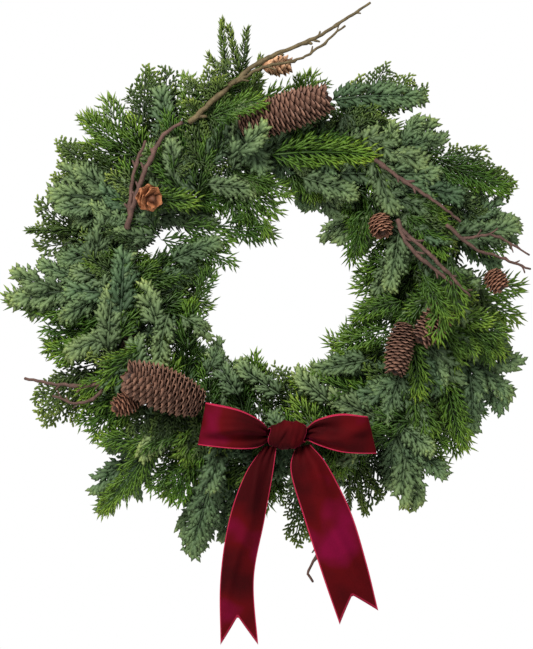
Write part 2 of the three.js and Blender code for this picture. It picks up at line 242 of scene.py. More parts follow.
def bark_material(name, dark, light, scale, roughness=0.8):
    s = Shader(name)
    coords = s.node("TexCoord").outputs["Object"]
    coarse = s.noise(scale, 5, 0.65, coords)
    fine = s.noise(scale * 5, 3, 0.6, coords)
    colour = s.mix(
        s.scaled(fine, 0, 0.5, 0.35, 0.7), s.ramp(coarse, [(0.32, dark), (0.68, light)]), (*dark, 1)
    )
    s.set("Base Color", colour)
    s.set("Roughness", s.scaled(coarse, roughness - 0.1, roughness + 0.12))
    s.bump(fine, 0.5, 0.0012)
    return s.material


VINE = bark_material("vine_bark", (0.045, 0.025, 0.016), (0.19, 0.115, 0.075), 90)
TWIG = bark_material("twig_bark", (0.06, 0.03, 0.023), (0.17, 0.09, 0.07), 120)
SHOOT = bark_material("green_twig_bark", (0.07, 0.05, 0.02), (0.2, 0.15, 0.07), 120)


def cone_material(name, deep, body, edge):
    """Scales darken towards the core and through their bodies as painted shade, and pale at their lips."""
    s = Shader(name)
    leaf = s.node("SeparateColor", {"Color": s.attribute("leaf").outputs["Color"]})
    along, tone = leaf.outputs["Red"], leaf.outputs["Green"]
    colour = s.ramp(along, [(0.3, deep), (0.72, body), (0.93, edge), (1.0, edge)])
    colour = s.mix(s.scaled(tone, 0.0, 0.5), colour, (*body, 1))
    fibre = s.noise(700, 4)
    dust = s.scaled(fibre, 0.75, 1.25, 0.3, 0.7)
    grey = s.node("CombineColor", {"Red": dust, "Green": dust, "Blue": dust})
    s.set("Base Color", s.mix(1.0, colour, grey.outputs[0], "MULTIPLY"))
    s.set("Roughness", s.scaled(fibre, 0.6, 0.85))
    s.bump(fibre, 0.35, 0.0006)
    return s.material


# deep is near-black painted shade towards the core, and body is darkened as painted shadow between the lips.
CONE = cone_material("spruce_cone_scales", (0.01, 0.004, 0.003), (0.07, 0.028, 0.017), (0.25, 0.125, 0.08))
LARCH = cone_material("larch_cone_scales", (0.025, 0.01, 0.005), (0.15, 0.055, 0.03), (0.36, 0.17, 0.1))
TAN = cone_material("tan_cone_scales", (0.2, 0.09, 0.04), (0.55, 0.3, 0.16), (0.7, 0.42, 0.25))
ORANGE = cone_material("orange_cone_scales", (0.08, 0.025, 0.01), (0.36, 0.125, 0.045), (0.5, 0.2, 0.085))


def velvet_material():
    """Deep red pile that turns magenta in large noise patches: painted sheen highlights."""
    s = Shader("burgundy_velvet")
    s.bsdf.inputs["Sheen Weight"].default_value = 0.3
    s.bsdf.inputs["Sheen Roughness"].default_value = 0.3
    s.bsdf.inputs["Sheen Tint"].default_value = (1, 0.02, 0.2, 1)
    s.bsdf.inputs["Specular IOR Level"].default_value = 0.08
    edge = s.node("SeparateColor", {"Color": s.attribute("leaf").outputs["Color"]}).outputs["Red"]
    crush_and_painted_sheen = s.noise(17, 2, 0.45)
    pile = s.noise(1500, 2)
    # The two dark stops are the crushed pile's own tone; the magenta top stop is painted sheen highlight.
    body = s.ramp(
        crush_and_painted_sheen,
        [(0.4, (0.028, 0.0006, 0.0008)), (0.58, (0.085, 0.001, 0.002)), (0.74, (0.17, 0.001, 0.03))],
    )
    body = s.mix(s.scaled(pile, 0, 0.35, 0.4, 0.7), body, (0.1, 0.002, 0.008, 1))
    # The edge band is paled to crimson: the selvedge's own colour, partly a painted highlight along the rim.
    s.set("Base Color", s.mix(s.scaled(edge, 0, 1, 0.35, 0.75), body, (0.42, 0.02, 0.06, 1)))
    s.set("Roughness", s.scaled(pile, 0.7, 0.95))
    s.bump(pile, 0.25, 0.0005)
    return s.material


VELVET = velvet_material()


def wire_material():
    s = Shader("green_wire", Roughness=0.4)
    wear = s.noise(500, 3)
    s.set("Base Color", s.ramp(wear, [(0.4, (0.02, 0.045, 0.02)), (0.7, (0.06, 0.1, 0.05))]))
    s.set("Roughness", s.scaled(wear, 0.3, 0.55))
    return s.material


WIRE = wire_material()


# ---- Meshes from arrays ----
class Soup:
    """Vertices, triangles and the two leaf numbers per vertex, gathered into one mesh."""

    def __init__(self):
        self.v, self.f, self.a, self.m, self.count = [], [], [], [], 0

    def add(self, verts, faces, along, tone, slot=0):
        """verts (n, k, 3), faces (t, 3) into each k, along and tone (n, k)."""
        n, k = verts.shape[:2]
        self.v.append(verts.reshape(-1, 3))
        self.f.append((faces[None] + (np.arange(n) * k)[:, None, None] + self.count).reshape(-1, 3))
        leaf = np.stack([np.broadcast_to(along, (n, k)), np.broadcast_to(tone, (n, k))], -1)
        self.a.append(leaf.reshape(-1, 2))
        self.m.append(np.full(n * len(faces), slot, np.int32))
        self.count += n * k

    def object(self, name, materials, slot, baked_uv=True, smooth=True):
        v = np.concatenate(self.v).astype(np.float32)
        f = np.concatenate(self.f).astype(np.int32)
        a = np.clip(np.concatenate(self.a), 0, 1).astype(np.float32)
        m = np.concatenate(self.m)
        mesh = bpy.data.meshes.new(name)
        mesh.vertices.add(len(v))
        mesh.vertices.foreach_set("co", v.ravel())
        mesh.loops.add(f.size)
        mesh.loops.foreach_set("vertex_index", f.ravel())
        mesh.polygons.add(len(f))
        mesh.polygons.foreach_set("loop_start", np.arange(0, f.size, 3, dtype=np.int32))
        mesh.polygons.foreach_set("loop_total", np.full(len(f), 3, np.int32))
        mesh.polygons.foreach_set("material_index", m)
        mesh.polygons.foreach_set("use_smooth", np.full(len(f), smooth))
        mesh.update()
        mesh.validate()
        colours = np.ones((len(v), 4), np.float32)
        colours[:, :2] = a
        layer = mesh.color_attributes.new("leaf", "FLOAT_COLOR", "POINT")
        layer.data.foreach_set("color", colours.ravel())
        if baked_uv:
            uv = mesh.uv_layers.new(name="OFBake")
            spread = np.tile(np.array([-1, 0, 1], np.float32) * 0.006, len(f))
            flat = a[f.ravel()]
            flat[:, 1] = flat[:, 1] * 0.96 + 0.02 + spread
            flat[:, 0] = flat[:, 0] * 0.96 + 0.02
            uv.data.foreach_set("uv", flat.ravel())
        for material in materials if isinstance(materials, (list, tuple)) else [materials]:
            mesh.materials.append(material)
        o = bpy.data.objects.new(name, mesh)
        bpy.context.scene.collection.objects.link(o)
        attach(o, "root")
        return o


# A leaflet's section is a ridge between two edges, with a flat back. A needle has one such section
# and a lobe has two.
NEEDLE_FACES = np.array([[0, 2, 1], [0, 3, 2], [0, 1, 3], [4, 1, 2], [4, 2, 3], [4, 3, 1]])
LOBE_FACES = np.array(
    [[0, 2, 1], [0, 3, 2], [0, 1, 3]]
    + [
        q
        for k in range(3)
        for q in ([1 + k, 1 + (k + 1) % 3, 4 + k], [1 + (k + 1) % 3, 4 + (k + 1) % 3, 4 + k])
    ]
    + [[7, 4, 5], [7, 5, 6], [7, 6, 4]]
)


def spindles(soup, p0, pc, p1, face, w, h, along, tone, two_rings, slot=0):
    """Curved leaflets from p0 by way of pc to p1, w wide and h thick at their fullest. along is (n, 2)."""

    def ring(t, share):
        centre = (1 - t) ** 2 * p0 + 2 * t * (1 - t) * pc + t * t * p1
        d = unit((1 - t) * (pc - p0) + t * (p1 - pc))
        side = unit(np.cross(d, face))
        up = np.cross(side, d)
        across = side * (w[:, None] / 2 * share)
        return [centre + across, centre + up * (h[:, None] * share), centre - across]

    if two_rings:
        rows = [p0, *ring(0.3, 1.0), *ring(0.82, 0.85), p1]
        shares = np.array([0] + [0.3] * 3 + [0.82] * 3 + [1])
        faces = LOBE_FACES
    else:
        rows = [p0, *ring(0.48, 1.0), p1]
        shares = np.array([0] + [0.48] * 3 + [1])
        faces = NEEDLE_FACES
    verts = np.stack(rows, axis=1)
    values = along[:, :1] + (along[:, 1:] - along[:, :1]) * shares
    soup.add(verts, faces, values, tone[:, None], slot)


def tube(soup, points, radius, sides=8, along=0.2, tone=0.5, slot=0, rough=0.0, seed=0, loops=False):
    """A closed round tube through the points (n, 3), with a radius for each."""
    p = np.asarray(points, float)
    n = len(p)
    radius = np.broadcast_to(np.asarray(radius, float), (n,))
    t = unit(np.roll(p, -1, 0) - np.roll(p, 1, 0)) if loops else unit(np.gradient(p, axis=0))
    up = np.zeros_like(p)
    u = np.array([0, -1.0, 0]) if abs(t[0][1]) < 0.8 else np.array([1.0, 0, 0])
    for i in range(n):
        u = u - t[i] * np.dot(u, t[i])
        u = u / np.linalg.norm(u)
        up[i] = u
    if loops:  # share out the twist so that the last ring meets the first
        ahead = np.cross(t[0], up[0])
        last = up[-1] - t[0] * np.dot(up[-1], t[0])
        turn = math.atan2(np.dot(last, ahead), np.dot(last, up[0]))
        a = -turn * np.arange(n)[:, None] / n
        up = up * np.cos(a) + np.cross(t, up) * np.sin(a)
    side = np.cross(t, up)
    angles = 2 * np.pi * np.arange(sides) / sides
    r = radius[:, None] * np.ones(sides)
    if rough:
        g = np.random.default_rng(seed)
        r = r * (1 + rough * (smooth_noise(g, n, sides) - 0.5) * 2)
    rings = p[:, None] + r[..., None] * (
        np.cos(angles)[None, :, None] * side[:, None] + np.sin(angles)[None, :, None] * up[:, None]
    )
    idx = np.arange(n * sides).reshape(n, sides)
    a, b = idx if loops else idx[:-1], np.roll(idx, -1, 0) if loops else idx[1:]
    a2, b2 = np.roll(a, -1, 1), np.roll(b, -1, 1)
    faces = np.concatenate(
        [np.stack([a, b, a2], -1).reshape(-1, 3), np.stack([a2, b, b2], -1).reshape(-1, 3)]
    )
    verts = rings.reshape(-1, 3)
    if not loops:
        ends = np.stack([p[0] - t[0] * radius[0] * 0.4, p[-1] + t[-1] * radius[-1] * 0.6])
        verts = np.concatenate([verts, ends])
        first, last = n * sides, n * sides + 1
        k = np.arange(sides)
        faces = np.concatenate(
            [
                faces,
                np.stack([np.full(sides, first), k, (k + 1) % sides], -1),
                np.stack([np.full(sides, last), (n - 1) * sides + (k + 1) % sides, (n - 1) * sides + k], -1),
            ]
        )
    soup.add(verts[None], faces[:, ::-1], along, tone, slot)


def smooth_noise(g, n, m, passes=2):
    """Noise on an n by m grid that wraps both ways, from 0 to 1."""
    x = g.random((n, m))
    for _ in range(passes):
        x = (x + np.roll(x, 1, 0) + np.roll(x, -1, 0) + np.roll(x, 1, 1) + np.roll(x, -1, 1)) / 5
    return (x - x.min()) / max(np.ptp(x), 1e-9)


def spline(points, n):
    """A smooth curve of n points through the given ones, evenly spaced."""
    p = np.asarray(points, float)
    ends = np.concatenate([[2 * p[0] - p[1]], p, [2 * p[-1] - p[-2]]])
    fine = []
    for i in range(len(p) - 1):
        a, b, c, d = ends[i : i + 4]
        t = np.linspace(0, 1, 24, endpoint=False)[:, None]
        fine.append(
            0.5 * (2 * b + (c - a) * t + (2 * a - 5 * b + 4 * c - d) * t**2 + (3 * b - a - 3 * c + d) * t**3)
        )
    fine = np.concatenate([*fine, [p[-1]]])
    steps = np.concatenate([[0], np.cumsum(np.linalg.norm(np.diff(fine, axis=0), axis=1))])
    want = np.linspace(0, steps[-1], n)
    return np.stack([np.interp(want, steps, fine[:, k]) for k in range(3)], -1)


# ---- Frond templates ----
# A frond lies along y from its base, with x across and z out of its plane, in millimetres. Each row of
# a template is one leaflet: its start, its bend's control point and its end, then its width,
# thickness, the leaf number at both ends and its kind, where 0 is a needle and 1 a blunt lobe.
# A leaflet's two leaf numbers rise from a frond's base to its tips, so its colour runs from painted shade
# near the stem to pale tips that are partly painted highlight.
def leaflet(rows, base, angle, curl, lift, length, width, thick, colour_and_shade_ends, kind):
    """One curved leaflet. angle is from +y in degrees, and curl is added along its length."""
    x, y, z = base
    a, b = math.radians(angle), math.radians(angle + curl)
    h = length / 2
    xc, yc, zc = x + math.sin(a) * h, y + math.cos(a) * h, z + lift * h
    end = (xc + math.sin(b) * h, yc + math.cos(b) * h, zc + lift * h)
    rows.append((x, y, z, xc, yc, zc, *end, width, thick, *colour_and_shade_ends, kind))

    def point(t):
        q = [(1 - t) ** 2 * p + 2 * t * (1 - t) * c + t * t * e for p, c, e in zip(base, (xc, yc, zc), end)]
        return q, angle + curl * t

    return point


def shoot(rows, g, base, angle, curl, lift, length, width, leaf, light):
    """A side shoot and the leaflets along both its sides. leaf is (spacing, length, width, angle, kind)."""
    spacing, size, leaf_width, leaf_angle, kind = leaf
    colour_and_shade_ends = (light * 0.35, min(1, light * 1.05))
    point = leaflet(rows, base, angle, curl, lift, length, width, width * 0.4, colour_and_shade_ends, 1)
    count = max(1, int(length * 0.85 / spacing))
    for k in range(count):
        for hand in (-1, 1):
            t = (k + 0.75 + 0.25 * hand + g.uniform(-0.15, 0.15)) / (count + 0.6)
            at_point, heading = point(min(0.95, max(0.02, t)))
            reach = size * (1.1 - 0.45 * t) * g.uniform(0.8, 1.2)
            bend = -hand * leaf_angle * 0.3
            colour_and_shade_ends = (light * (0.35 + 0.4 * t), min(1, light * (0.75 + 0.4 * t)))
            leaflet(rows, at_point, heading + hand * leaf_angle * g.uniform(0.85, 1.15), bend,
                    lift + g.uniform(-0.2, 0.2), reach, leaf_width * g.uniform(0.9, 1.1), leaf_width * 0.4,
                    colour_and_shade_ends, kind)


# How each kind of frond grows: its first shoot and the spacing of the rest, the shortest and longest
# shoot, their angle and width, the leaflets on them, the stem's width and how far the pairs are staggered.
HABITS = {
    "cypress": (4, 7.4, (13, 32), 36, 2.4, (8.6, 15.5, 2.5, 25, 0), 2.4, 0.5),
    "juniper": (5, 9.4, (14, 29), 40, 7.0, (6.8, 11.5, 4.9, 36, 0), 3.4, 0.6),
    "cedar": (7, 9.6, (12, 33), 44, 2.1, (6.2, 8.4, 2.7, 42, 1), 2.2, 1.0),
}
LENGTHS = (55, 75, 95, 118)


def fan(g, length, habit):
    """A frond: shoots in pairs along a stem, longest in its lower half, and one at its end."""
    first, spacing, (short, long), angle, width, leaf, stem, uneven = habit
    rows = []
    count = int((length * 0.86 - first) / spacing) + 1
    long = long * (0.55 + 0.0045 * length)
    for i in range(count):
        s = i / max(1, count - 1)
        swell = math.sin(math.pi * (0.24 + 0.7 * s))
        for hand in (-1, 1):
            y = first + i * spacing + hand * spacing * 0.25 * uneven + g.uniform(-0.6, 0.6)
            size = (short + (long - short) * swell) * g.uniform(0.82, 1.12)
            out = angle * (1.08 - 0.35 * s) * g.uniform(0.88, 1.12)
            light = 0.4 + 0.5 * s + g.uniform(-0.08, 0.08)
            if g.random() > 0.04:
                shoot(rows, g, (0, y, 0), hand * out, -hand * out * 0.45, g.uniform(-0.25, 0.25), size,
                      width, leaf, light)
    shoot(rows, g, (0, length * 0.8, 0), g.uniform(-3, 3), 0, 0, length * 0.2, width, leaf, 1.0)
    # The stem leaflets take the dark end of the leaf ramp: painted shade.
    for k in range(4):
        y0, y1 = length * 0.23 * k, length * min(0.97, 0.23 * k + 0.30)
        leaflet(rows, (0, y0, 0), 0, 0, 0, y1 - y0,
                stem * (1.15 - 0.15 * k), stem * (0.7 - 0.1 * k), (0.05, 0.3), 1)
    t = np.array(rows)
    t[:, :11] /= length
    return t


def fir_twig(g, length):
    """One twig with needles all along it, to both sides and to the front."""
    rows = []
    count = int(length / 2.5)
    for k in range(count):
        for hand in (-1, 0, 1):
            y = 3 + k * 2.5 * 0.93 + 0.8 * hand
            out = hand * 46 if hand else g.uniform(-25, 25)
            light = 0.4 + 0.6 * k / count
            leaflet(rows, (0, y, 0), out * g.uniform(0.85, 1.15), -hand * 16,
                    g.uniform(-0.3, 0.5) + (not hand) * 0.6,
                    g.uniform(9, 13) * (1.15 - 0.5 * k / count), 2.2, 1.1, (light * 0.5, light), 0)
    # The stem leaflets take the dark end of the leaf ramp: painted shade.
    for k in range(4):
        leaflet(rows, (0, k * length * 0.23, 0), 0, 0, 0, length * 0.29,
                2.4 - 0.2 * k, 1.6 - 0.2 * k, (0.05, 0.3), 1)
    t = np.array(rows)
    t[:, :11] /= length
    return t


VARIANTS = 3
TEMPLATES = {
    (kind, length): [
        fir_twig(g, length) if kind == "fir" else fan(g, length, HABITS[kind])
        for g in (np.random.default_rng(1000 * seed + 10 * length + i) for i in range(VARIANTS))
    ]
    for seed, kind in enumerate(("cypress", "juniper", "cedar", "fir"))
    for length in LENGTHS
}
FRONT = np.array([0, -1.0, 0])


def frond(soup, kind, variant, a, b, c, roll, mirror, tone, lighten=0.0):
    """Lays a template along the curve a-b-c, its face turned by roll from the front."""
    length = (np.linalg.norm(c - b) + np.linalg.norm(b - a) + np.linalg.norm(c - a)) / 2
    nearest_length = min(LENGTHS, key=lambda known: abs(known - 1000 * length))
    t = TEMPLATES[kind, nearest_length][variant % VARIANTS]
    ends = [t[:, 3 * k : 3 * k + 3] * np.array([mirror, 1, 1]) for k in range(3)]

    def bend(p):
        s = np.clip(p[:, 1], 0, 1)[:, None]
        over = (p[:, 1] - s[:, 0])[:, None]
        pos = (1 - s) ** 2 * a + 2 * s * (1 - s) * b + s**2 * c
        tangent = unit(2 * (1 - s) * (b - a) + 2 * s * (c - b))
        side = unit(np.cross(tangent, FRONT))
        normal = np.cross(side, tangent)
        side2 = side * math.cos(roll) + normal * math.sin(roll)
        normal2 = normal * math.cos(roll) - side * math.sin(roll)
        droop = 0.35 * p[:, 0:1] ** 2
        return pos + length * (p[:, 0:1] * side2 + (p[:, 2:3] - droop) * normal2 + over * tangent), normal2

    (q0, n0), (qc, _), (q1, _) = (bend(p) for p in ends)
    for q in (q0, qc, q1):
        q[:, 1] = np.minimum(q[:, 1], WALL_Y - 0.002)
    # lighten shifts the whole frond along its ramp, towards the pale tips or the painted-shade base: painted
    # light and shade.
    along = np.clip(t[:, 11:13] + lighten, 0, 1)
    for value in (0, 1):
        pick = t[:, 13] == value
        if pick.any():
            spindles(soup, q0[pick], qc[pick], q1[pick], n0[pick], t[pick, 9] * length, t[pick, 10] * length,
                     along[pick], np.full(pick.sum(), tone), bool(value))


# ---- Sprays ----
def polar(vertices):
    x, y, z = vertices[:, 0] - CX, vertices[:, 1], vertices[:, 2] - CZ
    return np.degrees(np.arctan2(x, z)), np.hypot(x, z), WALL_Y - y


def vertices_of(name):
    mesh = NODES[name].data
    v = np.empty(len(mesh.vertices) * 3, np.float32)
    mesh.vertices.foreach_get("co", v)
    return v.reshape(-1, 3).astype(float)


def spray_plan(name):
    """The spray's clock angles at its root and tip, its tip radius, its depth there and its half width."""
    v = vertices_of(name)
    clock, radius, depth = polar(v)
    reach = np.abs(radius - RING)
    core = np.hypot(radius - RING, depth - (WALL_Y - RING_Y))
    root = v[core < core.min() + 0.004].mean(0)
    far = v[reach > reach.max() - 0.004].mean(0)
    root_clock, tip_clock = polar(root[None])[0][0], polar(far[None])[0][0]
    turn = (tip_clock - root_clock + 180) % 360 - 180
    tip_radius = radius[np.argmax(reach)]
    d = unit(far - root)
    width = np.abs(np.cross(v - root, d)[:, 1]).max()
    return root_clock, root_clock + turn, tip_radius, float(np.median(depth)), width


SPRAYS = sorted(n for n in NODES if "_spray_" in n)
PLANS = {n: spray_plan(n) for n in SPRAYS}
FIRS = {"cedar_spray_01", "cedar_spray_08"}
SOUPS = {n: Soup() for n in SPRAYS}


def look_of(name):
    return "fir" if name in FIRS else name.split("_")[0]


def owner(kind, clock):
    """The spray of this kind that is rooted nearest to the clock angle."""
    kind = "cedar" if kind == "fir" else kind
    names = [n for n in SPRAYS if n.startswith(kind)]
    return min(names, key=lambda n: abs((PLANS[n][0] - clock + 180) % 360 - 180))


def heading_vector(heading):
    a = math.radians(heading)
    return np.array([math.sin(a), 0, math.cos(a)])


def lay(kind, g, start, heading, length, depths, rise, tone, lighten, roll=0.45):
    """A frond from start (clock, radius) that points heading degrees clockwise from up, as seen from
    the front. It starts and ends at the two depths and rises above them between."""
    clock, radius = start
    curl = g.uniform(-16, 16)
    a = at(clock, radius, depths[0])
    b = a + heading_vector(heading - curl / 2) * length / 2
    c = b + heading_vector(heading + curl / 2) * length / 2
    b[1] = WALL_Y - (depths[0] + depths[1]) / 2 - rise
    c[1] = WALL_Y - depths[1]
    frond(SOUPS[owner(kind, clock)], kind, int(g.integers(VARIANTS)), a, b, c, g.uniform(-roll, roll),
          g.choice([-1, 1]), float(np.clip(tone, 0, 1)), lighten)


def grow_spray(name, index):
    """A stem from the ring to the spray's tip, with fronds on both its sides and one at its end."""
    kind = look_of(name)
    g = np.random.default_rng(100 + index)
    root, tip, tip_radius, depth, half = PLANS[name]
    outward = 1 if tip_radius > RING else -1
    soup = SOUPS[name]
    tone0 = g.uniform(0.1, 0.7)
    turn = tip - root
    depth = min(depth, 0.07)
    d0 = 0.6 * depth + 0.4 * 0.04
    a = at(root, RING + outward * 0.008, d0)
    b = at(root + 0.3 * turn, RING + 0.5 * (tip_radius - RING), depth + 0.004)
    c = at(tip, tip_radius, depth)
    s = np.linspace(0, 0.8, 12)[:, None]
    stem = (1 - s) ** 2 * a + 2 * s * (1 - s) * b + s**2 * c
    # The stem takes the near-black end of the leaf ramp: painted shade.
    tube(soup, stem, np.linspace(0.0015, 0.0009, 12), 6, 0.04, tone0)
    length = np.linalg.norm(c - b) + np.linalg.norm(b - a)
    main = min(0.1, length * 0.8)

    def axis(s):
        return (
            (1 - s) ** 2 * a + 2 * s * (1 - s) * b + s**2 * c,
            unit(2 * (1 - s) * (b - a) + 2 * s * (c - b)),
        )

    # Outward sprays are made lighter and inward ones darker: painted light and shade.
    lighten = 0.1 if outward > 0 else -0.02
    s0 = 1 - main / length
    p0, _ = axis(s0)
    pm, _ = axis((1 + s0) / 2)
    frond(soup, kind, int(g.integers(VARIANTS)), p0, pm, c, g.uniform(-0.3, 0.3), 1, tone0, lighten)
    for k in range(4):
        s = 0.05 + 0.45 * k / 3 + g.uniform(-0.04, 0.04)
        hand = 1 if k % 2 else -1
        base, t = axis(s)
        side = np.cross(t, FRONT) * hand
        size = min(main * g.uniform(0.7, 0.9), 0.062 + 0.3 * half) * (1.05 - 0.4 * s)
        lean = math.radians(g.uniform(22, 40))
        forward = g.uniform(-0.35, 0.55)
        d = unit(t * math.cos(lean) + side * math.sin(lean) + FRONT * forward * 0.6)
        d2 = unit(t * math.cos(lean * 0.6) + side * math.sin(lean * 0.6) + FRONT * (forward * 0.6 - 0.25))
        frond(soup, kind, int(g.integers(VARIANTS)), base, base + d * size * 0.5,
              base + d * size * 0.5 + d2 * size * 0.5,
              g.uniform(-0.45, 0.45), g.choice([-1, 1]), float(np.clip(tone0 + g.uniform(-0.25, 0.25), 0, 1)),
              lighten + g.uniform(-0.14, 0.04))


# The wreath's outline: the foliage's usual inner and outer radius, in millimetres, at every 15 degrees
# of the clock from the top, and how far fronds lean clockwise from pointing straight outwards.
INNER = [112, 116, 108, 104, 106, 120, 98, 94, 94, 96, 104, 96, 86, 80, 76, 88, 94, 104, 94, 84, 78, 92,
         104, 114]
OUTER = [238, 240, 220, 250, 252, 266, 258, 240, 258, 262, 250, 262, 268, 258, 252, 238, 262, 250, 276,
         268, 290, 276, 264, 262]
LEAN = [65, 60, 55, 50, 42, 35, 30, 32, 34, 35, 28, 24, 20, 12, 8, 5, 4, 3, 3, 8, 16, 25, 40, 55]
ROUND = np.arange(25) * 15


def round_ring(table, clock):
    return float(np.interp(clock % 360, ROUND, table + table[:1]))


def back_to_ring(clock, radius, heading, ring):
    """How far a frond that ends at (clock, radius) reaches back along its heading to the ring's radius."""
    inwards = radius * math.cos(math.radians(heading - clock))
    under_root = inwards**2 - radius**2 + ring**2
    if under_root < 0:
        return 0.095
    way = math.sqrt(under_root)
    length = inwards - way if radius > ring else inwards + way
    return min(0.112, max(0.05, length))


def edge_fronds(count, inward, kinds, seed):
    """Fronds spread evenly round the ring that end along the wreath's inner or outer outline."""
    g = np.random.default_rng(seed)
    for k in range(count):
        clock = 360 * (k + g.uniform(-0.4, 0.4)) / count
        kind = kinds[int(g.integers(len(kinds)))]
        if inward:
            radius = round_ring(INNER, clock) / 1000 + g.uniform(-0.004, 0.022)
            heading = clock + 180 - 38 + g.uniform(-38, 38)
            # The inner fringe is darkened: painted shade.
            ring, lighten = RING - g.uniform(0, 0.018), -0.08
            depths = g.uniform(0.034, 0.058), g.uniform(0.026, 0.056)
        else:
            radius = round_ring(OUTER, clock) / 1000 + g.uniform(-0.04, 0.004)
            heading = clock + round_ring(LEAN, clock) + g.uniform(-28, 28)
            ring, lighten = RING + g.uniform(0, 0.02), -0.02
            depths = g.uniform(0.034, 0.058), g.uniform(0.022, 0.05)
        length = back_to_ring(clock, radius, heading, ring)
        base = at(clock, radius, 0) - heading_vector(heading) * length
        start_clock, start_radius, _ = (float(q[0]) for q in polar(base[None]))
        lay(kind, g, (start_clock, start_radius), heading, length, depths, g.uniform(0.0, 0.012),
            g.uniform(0.0, 0.8), lighten + g.uniform(-0.12, 0.12))


def mantle(count, span, depths, kinds, lighten, seed):
    """Fronds across the ring. Those rooted inside it point outwards and the others inwards."""
    g = np.random.default_rng(seed)
    for k in range(count):
        clock = 360 * (k + g.uniform(-0.5, 0.5)) / count
        offset = g.uniform(*span)
        kind = kinds[int(g.integers(len(kinds)))]
        if offset < 0:
            heading = clock + round_ring(LEAN, clock) + g.uniform(-36, 36)
        else:
            heading = clock + 180 - 45 + g.uniform(-36, 36)
        depth = g.uniform(*depths)
        lay(kind, g, (clock, RING + offset), heading, g.uniform(0.055, 0.085),
            (depth, depth + g.uniform(-0.008, 0.006)), g.uniform(0.003, 0.012), g.uniform(0.0, 1.0),
            lighten + g.uniform(-0.14, 0.14), 0.5)


